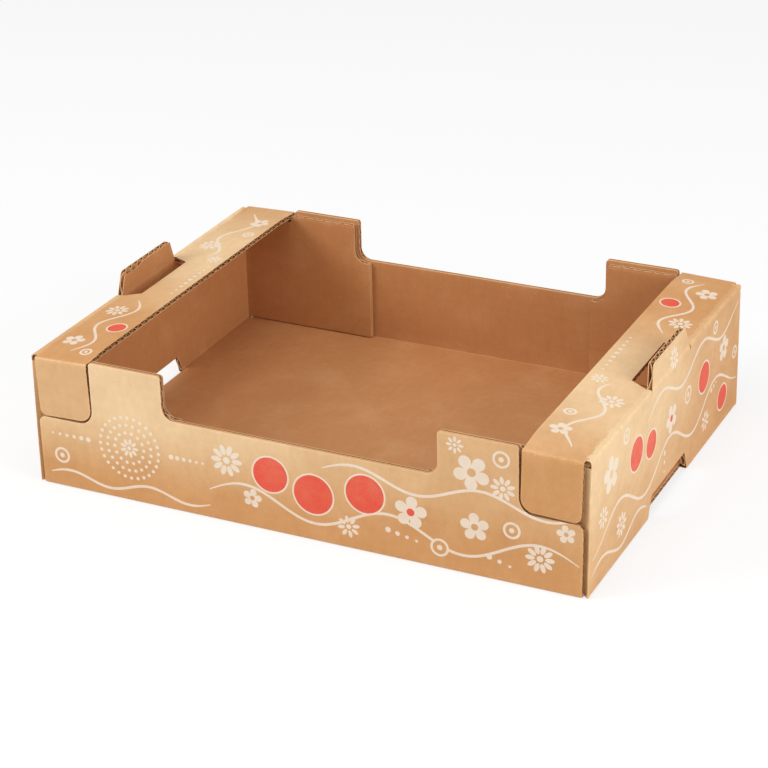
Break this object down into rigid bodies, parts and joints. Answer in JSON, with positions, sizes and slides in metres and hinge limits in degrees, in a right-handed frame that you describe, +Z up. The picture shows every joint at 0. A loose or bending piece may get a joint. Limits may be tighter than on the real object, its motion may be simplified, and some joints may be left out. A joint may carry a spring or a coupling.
{
  "type": "cardboard tray box",
  "caption": "Open-topped corrugated board tray with folded end ledges, glued corners, low long sides, stacking tabs and matching notches.",
  "frame": {"origin": "on the ground under the middle of the tray", "axes": "+X along the tray's length, through the end walls; +Y across it, through the long walls; +Z up"},
  "size_m": [0.4, 0.3, 0.1095],
  "materials": {
    "kraft_board": "matt brown kraft paper liners on corrugated board, about the sheen of plain paper",
    "hot_melt_glue": "pressed-out pale amber hot-melt glue"
  },
  "bodies": {
    "root": {"folded_tray": "kraft_board", "glue_dabs": "hot_melt_glue"}
  },
  "joints": []
}
